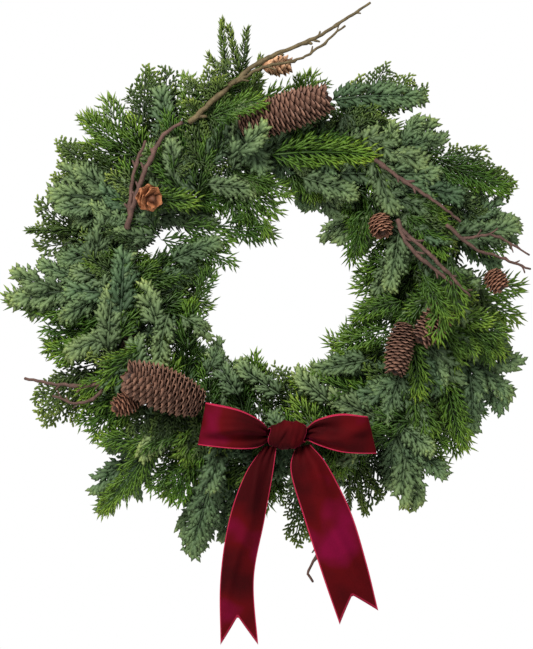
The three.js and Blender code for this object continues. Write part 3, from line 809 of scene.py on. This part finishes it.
# The fronds that stand out: kind, then x, z and depth in millimetres from the ring's centre at the base
# and at the tip, then the tone and how far the frond is shifted along its leaf ramp, lighter or darker:
# partly the tips' yellowing, partly painted light and shade.
SPECIMENS = [
    ("juniper", 57, 218, 60, 172, 221, 50, 0.15, 0.12),
    ("cypress", -14, 154, 72, 113, 152, 74, 0.35, 0.22),
    ("juniper", 98, 175, 72, 170, 145, 66, 0.85, 0.02),
    ("cypress", 159, 159, 56, 270, 115, 44, 0.1, 0.05),
    ("cedar", 198, 150, 44, 278, 122, 36, 0.2, 0.1),
    ("juniper", 198, 62, 60, 276, 78, 52, 0.45, 0.05),
    ("cypress", 143, 87, 70, 194, 37, 68, 0.25, 0.1),
    ("cypress", 166, -94, 60, 179, -99, 60, 0.2, 0.0),
    ("juniper", 138, -92, 72, 115, -152, 66, 0.4, 0.02),
    ("juniper", 152, -117, 68, 166, -200, 54, 0.55, 0.1),
    ("cypress", 147, -53, 76, 158, -124, 72, 0.55, 0.14),
    ("cypress", 191, -92, 58, 215, -187, 44, 0.35, 0.14),
    ("juniper", 218, -94, 54, 221, -166, 40, 0.3, 0.0),
    ("cedar", 110, -179, 46, 99, -261, 34, 0.05, -0.1),
    ("cedar", 136, -177, 50, 147, -256, 36, 0.4, 0.12),
    ("cypress", -145, -170, 52, -212, -260, 38, 0.5, 0.16),
    ("juniper", -120, -154, 66, -161, -191, 58, 0.9, 0.2),
    ("cypress", -140, -178, 54, -210, -174, 44, 0.15, 0.18),
    ("cypress", -78, -184, 52, -138, -236, 40, 0.3, 0.05),
    ("juniper", -69, -191, 56, -105, -310, 40, 0.3, 0.04),
    ("cypress", -182, -25, 52, -319, -8, 40, 0.15, 0.1),
    ("cypress", -189, -46, 48, -251, -37, 42, 0.1, -0.05),
    ("cypress", -189, -64, 54, -270, -68, 44, 0.3, 0.16),
    ("cedar", -221, -87, 42, -281, -151, 32, 0.4, 0.2),
    ("cypress", -189, -97, 58, -232, -123, 52, 0.45, 0.14),
    ("juniper", -193, 51, 60, -258, 32, 50, 0.35, 0.0),
    ("juniper", -138, -46, 74, -160, 9, 72, 0.9, 0.12),
    ("juniper", -126, -25, 76, -138, -92, 72, 0.75, 0.14),
    ("juniper", -117, -28, 74, -78, -55, 68, 0.7, 0.14),
    ("cedar", -159, 186, 46, -155, 263, 36, 0.1, 0.06),
    ("cedar", -186, 136, 46, -263, 175, 36, 0.15, 0.14),
    ("cedar", -212, 97, 44, -264, 136, 34, 0.5, 0.16),
    ("fir", -200, 71, 48, -297, 70, 38, 0.05, -0.05),
    ("cypress", -182, 166, 50, -232, 205, 40, 0.5, 0.16),
    ("cedar", -202, 85, 46, -271, 113, 36, 0.6, 0.1),
    ("fir", -59, 251, 50, -67, 316, 40, 0.35, 0.15),
    ("cypress", -103, 189, 48, -108, 253, 40, 0.75, 0.1),
    ("juniper", -129, 161, 46, -140, 239, 38, 0.3, 0.0),
    ("juniper", -86, 121, 70, -21, 115, 60, 0.8, 0.06),
    ("cypress", -46, 129, 72, 14, 108, 64, 0.6, 0.05),
    ("juniper", 23, 129, 72, 92, 106, 62, 0.65, 0.06),
    ("juniper", 44, 150, 66, 69, 98, 54, 0.5, 0.02),
    ("cypress", -78, 74, 62, -6, 62, 48, 0.2, -0.02),
    ("cypress", -97, 46, 64, -51, 32, 50, 0.3, 0.0),
    ("cypress", 106, 103, 66, 83, 32, 50, 0.2, 0.02),
    ("juniper", 136, 67, 74, 124, -2, 66, 0.6, 0.1),
    ("cypress", 143, -12, 66, 83, -32, 54, 0.35, 0.1),
    ("cypress", 129, -46, 66, 60, -71, 54, 0.4, 0.14),
    ("juniper", 106, -80, 66, 37, -94, 54, 0.5, 0.05),
    ("cypress", 83, -117, 70, 14, -103, 62, 0.5, 0.08),
    ("juniper", 57, -129, 74, 18, -94, 70, 0.85, 0.1),
    ("juniper", 2, -122, 66, -51, -85, 56, 0.6, 0.06),
    ("juniper", -46, -124, 66, -78, -69, 56, 0.5, 0.04),
    ("juniper", -85, -99, 66, -67, -57, 56, 0.45, 0.04),
    ("cypress", -106, -71, 66, -97, -12, 54, 0.3, 0.02),
    ("cypress", -97, -12, 62, -78, 32, 52, 0.3, 0.04),
    ("cypress", 69, -172, 56, 48, -129, 60, 0.3, 0.06),
    ("juniper", -126, 32, 66, -67, 57, 60, 0.35, 0.04),
    ("cypress", -138, 58, 62, -72, 42, 56, 0.25, 0.0),
    ("cypress", -115, 75, 60, -52, 52, 54, 0.3, 0.04),
    ("cypress", -82, 192, 98, -16, 214, 104, 0.3, 0.12),
    ("juniper", -60, 148, 78, -14, 186, 100, 0.6, 0.1),
    ("cypress", 160, 22, 88, 192, -34, 104, 0.4, 0.08),
    ("cypress", 196, 30, 84, 205, -30, 92, 0.5, 0.12),
    ("cypress", 182, -2, 92, 176, -58, 104, 0.3, 0.1),
]


def specimen(kind, x0, z0, d0, x1, z1, d1, tone, lighten, g):
    a, c = place([[x0, z0, d0], [x1, z1, d1]])
    along = c - a
    side = unit(np.cross(along, FRONT))
    b = (a + c) / 2 + side * g.uniform(-0.1, 0.1) * np.linalg.norm(along) + FRONT * g.uniform(0.003, 0.01)
    clock = polar(a[None])[0][0]
    frond(SOUPS[owner(kind, clock)], kind, int(g.integers(VARIANTS)), a, b, c, g.uniform(-0.3, 0.3),
          g.choice([-1, 1]), tone, lighten)


ALL_KINDS = ("cypress", "cypress", "juniper", "juniper", "cedar")
for index, name in enumerate(SPRAYS):
    grow_spray(name, index)
# A low layer of fronds near the wall, darkened by -0.3 as painted shade in the gaps.
mantle(80, (-0.03, 0.03), (0.018, 0.03), ("cypress", "cedar"), -0.3, 5)
edge_fronds(62, True, ("cypress", "juniper", "cypress", "cedar"), 7)
edge_fronds(84, False, ("cypress", "cedar", "juniper", "cedar"), 8)
mantle(170, (-0.045, 0.035), (0.058, 0.068), ALL_KINDS, -0.05, 9)
chooser = np.random.default_rng(11)
for row in SPECIMENS:
    specimen(*row, chooser)
for name in SPRAYS:
    kind = name.split("_")[0]
    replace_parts(SOUPS[name].object(name + "_fronds", LEAVES[kind], kind), name)


# ---- Vines ----
def build_vine(name, phase):
    t = np.linspace(0, 1, 240, endpoint=False)
    twist = 2 * np.pi * (5 * t + phase)
    points = at(360 * t, RING + 0.0095 * np.cos(twist), (WALL_Y - RING_Y) + 0.0095 * np.sin(twist))
    radius = 0.0062 * (1 + 0.08 * np.cos(2 * np.pi * (7 * t + phase)))
    soup = Soup()
    tube(soup, points, radius, 12, rough=0.13, seed=int(phase * 30) + 1, loops=True)
    o = soup.object(name + "_bark", VINE, "vine", baked_uv=False)
    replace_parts(o, name)


for i, name in enumerate(VINES):
    build_vine(name, i / 3)


# ---- Cones ----
def scale_template(columns=5, rows=5, pointed=0.0):
    """A spoon-shaped scale one unit long along y, about one wide, facing z, as (verts, faces, along)."""
    verts, along = [], []
    for sheet in (1, -1):
        for j in range(rows):
            t = j / (rows - 1)
            half = 0.5 * (0.35 + 0.65 * math.sin(math.pi * min(1, t * 0.9) ** 1.1))
            if t >= 0.6:
                half = 0.5 * math.sqrt(max(0.02, 1 - ((t - 0.6) / 0.42) ** 2)) * (1 - pointed * (t - 0.6))
            for i in range(columns):
                u = 2 * i / (columns - 1) - 1
                cup = -0.16 * u * u * t
                curl = 0.16 * t * t
                thick = 0.035 * (1 - 0.4 * t) * sheet
                verts.append((half * u, t - 0.10 * u * u * t, cup + curl + thick))
                along.append(0.15 + 0.85 * t)
    faces = []
    n = columns * rows
    for j in range(rows - 1):
        for i in range(columns - 1):
            a = j * columns + i
            b, c, d = a + 1, a + columns + 1, a + columns
            faces += [(a, b, c), (a, c, d), (n + a, n + c, n + b), (n + a, n + d, n + c)]
    rim = [i for i in range(columns)] + [j * columns + columns - 1 for j in range(1, rows)]
    rim += [(rows - 1) * columns + i for i in range(columns - 2, -1, -1)]
    rim += [j * columns for j in range(rows - 2, 0, -1)]
    for a, b in zip(rim, rim[1:] + rim[:1]):
        faces += [(a, n + a, n + b), (a, n + b, b)]
    return np.array(verts), np.array(faces), np.array(along)


def build_cone(name, tip, scales, girth, open_base, open_tip, width, material, slot, seed, blunt=0.8):
    """Scales in a spiral on a core. The cone's box centre and its length along tip come from its CAD node."""
    v = vertices_of(name)
    axis = unit(np.array(tip, float))
    ends = v @ axis
    length = np.ptp(ends)
    middle = (v[np.argmin(ends)] + v[np.argmax(ends)]) / 2
    base = middle - axis * length / 2
    radius = np.linalg.norm(np.cross(v - middle, axis), axis=1).max()
    side = unit(np.cross(axis, [0.3, -1, 0.2]))
    other = np.cross(axis, side)
    g = np.random.default_rng(seed)
    soup = Soup()
    s = np.linspace(0, 1, 14)
    core = base + axis * (s * length * 0.93 + 0.001)[:, None]
    # The core takes the dark end of the scale ramp: painted shade.
    tube(soup, core, radius * 0.42 * np.sin(np.pi * (0.1 + 0.84 * s)) ** 0.6, 10, 0.1, 0.3)
    sv, sf, sa = scale_template()
    k = np.arange(scales)
    t = (k + 0.5) / scales
    turn = k * math.radians(137.508) + g.uniform(-0.05, 0.05, scales)
    profile = np.sin(np.pi * (0.13 + (blunt - 0.06) * t)) ** 0.55
    opening = np.radians(open_base + (open_tip - open_base) * t**1.5) + g.uniform(-0.07, 0.07, scales)
    root_r = radius * 0.3 * profile
    reach = (radius * girth * profile - root_r) / np.maximum(np.sin(opening), 0.35)
    foot = t * 0.97 * length - np.cos(opening) * reach * 0.75
    foot = np.clip(foot, 0.0, None)
    out = np.cos(turn)[:, None] * side + np.sin(turn)[:, None] * other
    along_dir = out * np.sin(opening)[:, None] + axis * np.cos(opening)[:, None]
    across = np.cross(along_dir, out * np.cos(opening)[:, None] - axis * np.sin(opening)[:, None])
    across = unit(across)
    normal = np.cross(across, along_dir)
    p = base + axis * foot[:, None] + out * root_r[:, None]
    w = radius * width * profile * g.uniform(0.9, 1.1, scales)
    verts = (
        p[:, None]
        + along_dir[:, None] * (sv[None, :, 1:2] * reach[:, None, None])
        + across[:, None] * (sv[None, :, 0:1] * w[:, None, None])
        + normal[:, None] * (sv[None, :, 2:3] * reach[:, None, None])
    )
    flip = np.dot(np.cross(across[0], along_dir[0]), normal[0]) < 0
    soup.add(
        verts, sf[:, ::-1] if flip else sf, np.broadcast_to(sa, (scales, len(sa))), g.random((scales, 1))
    )
    o = soup.object(name + "_scales", material, slot, baked_uv=False)
    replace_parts(o, name)
    return o


build_cone("spruce_cone_top", (0.93, -0.16, 0.3), 200, 1.0, 62, 30, 0.8, CONE, "cone", 1)
build_cone("spruce_cone_left", (-0.88, -0.3, 0.36), 200, 1.0, 62, 28, 0.8, CONE, "cone", 2)
build_cone("spruce_cone_right", (-0.2, -0.2, -0.95), 120, 1.0, 64, 34, 0.85, CONE, "cone", 3)
build_cone("spruce_cone_far_right", (-0.6, -0.2, -0.7), 110, 1.0, 64, 34, 0.85, CONE, "cone", 4)
build_cone("spruce_cone_small_left", (-0.8, -0.3, -0.35), 54, 1.0, 70, 40, 0.95, LARCH, "cone", 5)
build_cone("larch_cone_top", (1, -0.2, 0), 40, 1.0, 34, 16, 1.2, TAN, "larch", 6)
build_cone("larch_cone_left", (0.5, -0.8, -0.2), 17, 1.1, 80, 40, 1.4, ORANGE, "larch", 7)
build_cone("larch_cone_right", (0.2, -0.5, -0.85), 60, 1.0, 64, 30, 0.95, LARCH, "larch", 8)
build_cone("larch_cone_far_right", (0.5, -0.3, -0.8), 56, 1.0, 64, 34, 0.95, LARCH, "larch", 9)


# ---- Twigs ----
TWIGS = {
    "twig_top": [
        ([[-104, 192, 66], [-60, 232, 68], [-22, 262, 66], [46, 293, 60], [104, 331, 56]], 3.4, 1.5),
        ([[-60, 232, 68], [-20, 255, 66], [28, 268, 61], [75, 304, 58]], 2.2, 1.2),
    ],
    "twig_left": [
        ([[-175, 70, 74], [-166, 104, 76], [-150, 145, 76], [-134, 176, 74], [-112, 192, 70]], 3.2, 2),
        ([[-172, 80, 74], [-168, 130, 78], [-154, 170, 78]], 2.6, 1.6),
    ],
    "twig_upper_right": [([[108, 148, 82], [144, 122, 84], [180, 98, 82], [206, 78, 76]], 2.4, 1.6)],
    "twig_right": [
        ([[134, 80, 82], [146, 50, 88], [182, 18, 88], [200, 2, 84]], 2.8, 1.5),
        ([[137, 70, 83], [174, 36, 92], [216, -8, 88]], 2.6, 1.5),
    ],
    "twig_far_right": [
        ([[190, 74, 76], [222, 48, 72], [256, 36, 66], [288, 24, 62]], 2.4, 1.2),
        ([[208, 58, 74], [246, 62, 70], [286, 40, 66]], 1.8, 1.1),
    ],
    "twig_lower_left": [
        ([[-180, -104, 66], [-225, -110, 58], [-262, -108, 52], [-295, -102, 48]], 2.4, 1.6),
        ([[-190, -106, 64], [-228, -130, 58], [-262, -122, 54]], 2, 1.3),
    ],
    "twig_bottom": [
        ([[36, -206, 52], [42, -262, 56], [44, -300, 58], [32, -324, 58], [38, -336, 58]], 2.6, 1.4),
    ],
}


def build_twig(name, strands, seed):
    g = np.random.default_rng(seed)
    soup = Soup()
    for points, thick, thin in strands:
        length = np.linalg.norm(np.diff(place(points), axis=0), axis=1).sum()
        n = max(12, int(length / 0.005))
        line = spline(place(points), n)
        line[1:-1] += g.normal(0, 0.0006, (n - 2, 3))
        radius = np.linspace(thick, thin, n) / 1000
        knots = np.zeros(n)
        knots[g.integers(2, n - 2, max(2, n // 8))] = 0.35
        radius = radius * (1 + knots) * g.uniform(0.92, 1.08, n)
        tube(soup, line, radius, 8, rough=0.1, seed=seed)
        # spurs
        for k in g.integers(2, n - 2, max(3, n // 7)):
            d = unit(line[k + 1] - line[k - 1])
            s = unit(np.cross(d, [0, -1, 0])) * g.choice([-1, 1])
            size = g.uniform(0.006, 0.014)
            tip = line[k] + (d * 0.75 + s * 0.6 + np.array([0, g.uniform(-0.3, 0.1), 0])) * size
            tube(soup, spline([line[k], (line[k] + tip) / 2 + d * 0.0006, tip], 5),
                 radius[k] * np.array([0.8, 0.62, 0.55, 0.6, 0.45]), 6)
    o = soup.object(name + "_bark", SHOOT if name == "twig_top" else TWIG, "twig", baked_uv=False)
    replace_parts(o, name)


for i, (name, strands) in enumerate(TWIGS.items()):
    build_twig(name, strands, 40 + i)


# ---- The hanging wire ----
def build_loop():
    soup = Soup()
    wire = 0.0013
    angle = np.linspace(0, 2 * np.pi, 40, endpoint=False)
    around = 0.0197
    hub = np.array([CX, RING_Y, CZ + 0.185])
    turn = hub + around * np.stack([0 * angle, np.sin(angle), np.cos(angle)], -1)
    tube(soup, turn, wire, 8, loops=True)
    eye = np.stack([0.009 * np.sin(angle), 0 * angle, -0.0077 + 0.009 * np.cos(angle)], -1)
    tube(soup, eye, wire, 8, loops=True)
    on_turn = hub + around * np.array([0, math.cos(0.9), math.sin(0.9)])
    neck = spline([[0, 0, -0.0167], [0, -0.003, -0.021], on_turn], 12)
    tube(soup, neck, wire, 8)
    o = soup.object("hanging_wire", WIRE, "wire", baked_uv=False)
    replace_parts(o, "hanging_loop")


build_loop()


# ---- The bow ----
RIBBON = 0.0009


def cloth(name, grid, edge_band, node):
    """A sheet from a grid of points (n, m, 3), m across the ribbon, given its thickness."""
    n, m = grid.shape[:2]
    du = np.gradient(grid, axis=0)
    dv = np.gradient(grid, axis=1)
    normal = unit(np.cross(du, dv))
    top, under = grid + normal * RIBBON / 2, grid - normal * RIBBON / 2
    verts = np.concatenate([top.reshape(-1, 3), under.reshape(-1, 3)])
    idx = np.arange(n * m).reshape(n, m)
    a, b, c, d = idx[:-1, :-1], idx[1:, :-1], idx[1:, 1:], idx[:-1, 1:]
    quads = np.stack([a, b, c, d], -1).reshape(-1, 4)
    faces = np.concatenate([quads[:, [0, 1, 2]], quads[:, [0, 2, 3]]])
    back = faces[:, ::-1] + n * m
    rim = np.concatenate([idx[:, 0], idx[-1, 1:], idx[-2::-1, -1], idx[0, -2:0:-1]])
    nxt = np.roll(rim, -1)
    wall = np.concatenate(
        [np.stack([rim, rim + n * m, nxt], -1), np.stack([nxt, rim + n * m, nxt + n * m], -1)]
    )
    edge = np.broadcast_to(edge_band, (n, m)).reshape(-1)
    soup = Soup()
    soup.add(verts[None], np.concatenate([faces, back, wall]), np.concatenate([edge, edge])[None], 0.5)
    o = soup.object(name, VELVET, "velvet", baked_uv=False)
    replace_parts(o, node)
    return o


ACROSS = np.concatenate([[0, 0.01, 0.022, 0.034], np.linspace(0.07, 0.93, 18), [0.966, 0.978, 0.99, 1]])
# The pale edge bands: the selvedge's own colour, partly a painted highlight.
EDGE = np.where((ACROSS < 0.03) | (ACROSS > 0.97), 1.0, 0.0)


def ridge(distance, width):
    return np.exp(-((distance / width) ** 2))


def bow_loop(name, node, upper, lower, deep, fold, seed):
    """fold gives where across the ribbon its ridge and its dent lie at the knot, and how far they wander."""
    steps = 64
    out = np.sin(np.pi * np.linspace(0, 1, steps)) ** 0.75
    t = np.linspace(0, 1, steps)
    top, bottom = spline(place(upper), 80), spline(place(lower), 80)
    pick = np.clip(out * 79, 0, 79)

    def along_curve(curve):
        return np.stack([np.interp(pick, np.arange(80), curve[:, k]) for k in range(3)], -1)

    e0, e1 = along_curve(top), along_curve(bottom)
    behind = deep * (3 * t**2 - 2 * t**3) * (0.3 + 0.7 * out) - 0.35 * deep * out * (1 - t) * 1.2
    s = ACROSS[None, :, None]
    grid = e0[:, None] * (1 - s) + e1[:, None] * s
    grid[..., 1] += behind[:, None]
    # pleats gathered into the knot, and a soft bulge
    pinch = (1 - out[:, None]) ** 1.5
    grid[..., 1] += 0.0035 * pinch * np.cos(ACROSS[None] * 2 * np.pi * 3 + seed)
    front = np.where(t < 0.5, -1, 1)[:, None]
    run = np.sin(np.pi * np.clip(out * 0.95, 0, 1))[:, None]
    swell = 0.004 * np.sin(np.pi * ACROSS[None])
    swell = swell + 0.008 * ridge(ACROSS[None] - fold[0] - fold[1] * out[:, None], 0.15)
    dent = 0.007 * ridge(ACROSS[None] - fold[2] - fold[3] * out[:, None], 0.14)
    grid[..., 1] += front * (swell - dent) * run
    grid[..., 2] += 0.002 * np.sin(out[:, None] * 5 + seed) * np.sin(np.pi * ACROSS[None])
    return cloth(name, grid, EDGE[None], node)


def bow_tail(name, node, left, right, notch, folds, seed):
    """Each of the folds is where its ridge starts across the ribbon, its wander, middle, reach and height."""
    steps = 72
    a, b = spline(place(left), 120), spline(place(right), 120)
    t = np.linspace(0, 1, steps)[:, None]
    cut = t * (1 - notch * (1 - np.abs(2 * ACROSS[None] - 1)))
    pick = np.clip(cut * 119, 0, 119)
    grid = np.empty((steps, len(ACROSS), 3))
    for k in range(3):
        e0 = np.interp(pick, np.arange(120), a[:, k])
        e1 = np.interp(pick, np.arange(120), b[:, k])
        grid[..., k] = e0 * (1 - ACROSS) + e1 * ACROSS
    wave = 0.005 * np.sin(np.pi * cut) * np.sin(cut * 7 + seed)
    grid[..., 1] -= 0.006 * np.sin(np.pi * ACROSS[None]) * np.sin(np.pi * np.clip(cut * 1.1, 0, 1)) + wave
    grid[..., 1] += 0.0025 * np.exp(-cut * 7) * np.cos(ACROSS[None] * 2 * np.pi * 2.5)
    for start, wander, middle, reach, height in folds:
        grid[..., 1] -= height * ridge(ACROSS[None] - start - wander * cut, 0.16) * ridge(cut - middle, reach)
    # The cut end is paled like the edges: partly a painted highlight.
    edge = np.maximum(EDGE[None], np.where(t > 0.985, 0.6, 0))
    return cloth(name, grid, edge, node)


def bow_knot(name, node):
    """The ribbon gathered round the middle: plump folds that cross it aslant."""
    low, high = (np.array(c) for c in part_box(node))
    middle, half = (low + high) / 2, (high - low) / 2
    turn = np.linspace(-0.55 * np.pi, 1.5 * np.pi, 96)[:, None]
    s = np.linspace(-1, 1, 40)[None]
    swell = np.sqrt(1 - 0.62 * s**2)
    folds = 1 + 0.06 * np.sin(s * 8 + turn * 1.4) + 0.03 * np.sin(s * 17 - turn * 2)
    plumps = ((0.35, 0.55, 0.5, 0.2), (-0.6, 0.0, 0.4, 0.12), (0.3, -0.75, 0.45, 0.14))
    for across, round_, wide, height in plumps:
        folds = folds + height * ridge(s - across, wide) * ridge(turn - round_, 0.6)
    crease = ridge(s + 0.12 - 0.5 * np.sin(turn * 0.9), 0.13) * ridge(turn, 1.1)
    folds = folds - 0.16 * crease
    y = middle[1] - half[1] * swell * np.cos(turn) * folds * 1.02
    z = half[2] * swell * np.sin(turn) * folds * 0.92
    x = half[0] * s * (1 + 0.07 * np.cos(turn * 2)) + 0.002 * np.sin(turn * 2)
    tilt = math.radians(7)
    grid = np.stack([
        middle[0] + x * math.cos(tilt) - z * math.sin(tilt),
        y + 0 * x,
        middle[2] + x * math.sin(tilt) + z * math.cos(tilt),
    ], -1)
    edge = np.where(np.abs(s) > 0.96, 1.0, 0.0)
    return cloth(name, grid, edge, node)


bow_knot("bow_knot_wrap", "bow_knot")
bow_loop(
    "bow_loop_left_ribbon", "bow_loop_left",
    [[-14, -158, 98], [-24, -148, 103], [-48, -136, 106], [-84, -128, 104]],
    [[-14, -172, 98], [-26, -179, 103], [-50, -180, 106], [-93, -176, 104]],
    0.026, (0.3, 0.35, 0.7, 0.1), 0.4,
)
bow_loop(
    "bow_loop_right_ribbon", "bow_loop_right",
    [[30, -158, 98], [42, -148, 103], [68, -141, 106], [99, -144, 104]],
    [[30, -170, 98], [46, -177, 103], [72, -184, 106], [109, -186, 104]],
    0.026, (0.75, -0.4, 0.3, 0.25), 1.7,
)
bow_tail(
    "bow_tail_left_ribbon", "bow_tail_left",
    [[-18, -178, 92], [-40, -210, 100], [-58, -262, 96], [-68, -330, 86], [-68, -405, 80]],
    [[-4, -178, 92], [-9, -212, 100], [-18, -262, 96], [-30, -330, 86], [-25, -405, 80]],
    0.14, [(0.25, 0.9, 0.2, 0.16, 0.008), (0.9, -0.9, 0.62, 0.2, 0.006)], 0.3,
)
bow_tail(
    "bow_tail_right_ribbon", "bow_tail_right",
    [[18, -178, 92], [12, -206, 100], [28, -262, 96], [50, -330, 86], [68, -382, 80]],
    [[34, -176, 92], [54, -200, 100], [80, -252, 96], [98, -310, 86], [112, -366, 80]],
    0.13, [(0.8, -0.6, 0.18, 0.15, 0.007), (0.1, 0.8, 0.6, 0.22, 0.006)], 2.1,
)

# ---- The floor, far below ----
floor_mesh = bpy.data.meshes.new("floor")
FLOOR, FLOOR_Z = 3, -1.6
corners = [(x * FLOOR, y * FLOOR, FLOOR_Z) for x, y in ((-1, -1), (1, -1), (1, 1), (-1, 1))]
floor_mesh.from_pydata(corners, [], [(0, 1, 2, 3)])
floor = bpy.data.objects.new("floor", floor_mesh)
bpy.context.scene.collection.objects.link(floor)
floor_shader = Shader("pale_floor", Roughness=0.9)
floor_tint = [(0, (0.8, 0.8, 0.8)), (1, (0.86, 0.86, 0.86))]
floor_shader.set("Base Color", floor_shader.ramp(floor_shader.noise(2), floor_tint))
floor_mesh.materials.append(floor_shader.material)
floor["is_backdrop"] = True

faces = {o.name: len(o.data.polygons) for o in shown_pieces() if o.type == "MESH"}
print("triangles in all:", sum(faces.values()), "most in one:", max(faces.items(), key=lambda x: x[1]))
